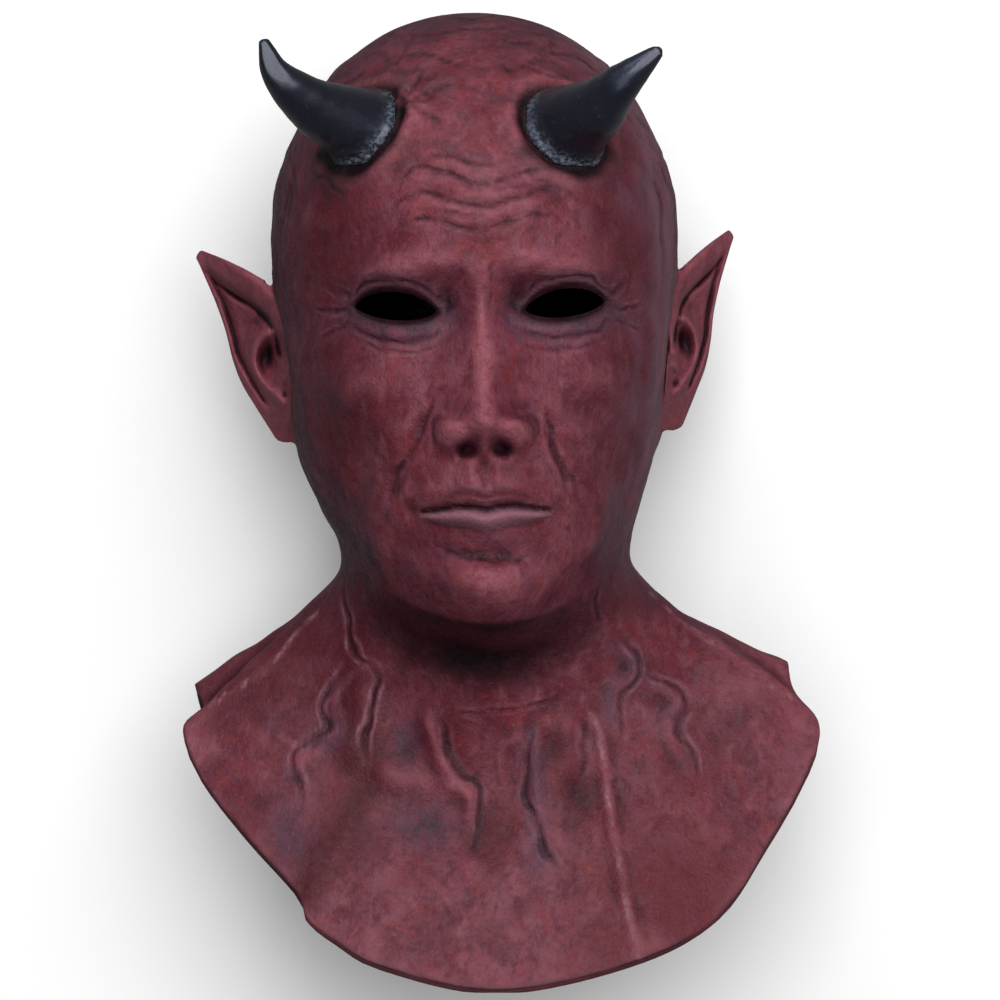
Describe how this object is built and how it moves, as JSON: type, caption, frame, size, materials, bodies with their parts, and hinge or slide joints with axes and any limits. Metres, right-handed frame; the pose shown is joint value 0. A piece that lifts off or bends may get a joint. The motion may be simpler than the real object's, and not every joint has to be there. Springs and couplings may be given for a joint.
{
  "type": "devil mask",
  "caption": "Full-head silicone devil mask with pointed ears, two curved horns and a neck and chest bib, hollow, with open eyes.",
  "frame": {"origin": "centre of the bottom of the bounding box, on the surface that the mask lies on", "axes": "+X to the viewer's right (the wearer's left), +Y from the bib to the crown, +Z out of the face"},
  "size_m": [0.256, 0.3894, 0.2129],
  "materials": {
    "painted_silicone": "satin",
    "horn_resin": "gloss"
  },
  "bodies": {
    "root": {"mask_skin": "painted_silicone", "horn_left": "horn_resin", "horn_right": "horn_resin"}
  },
  "joints": []
}
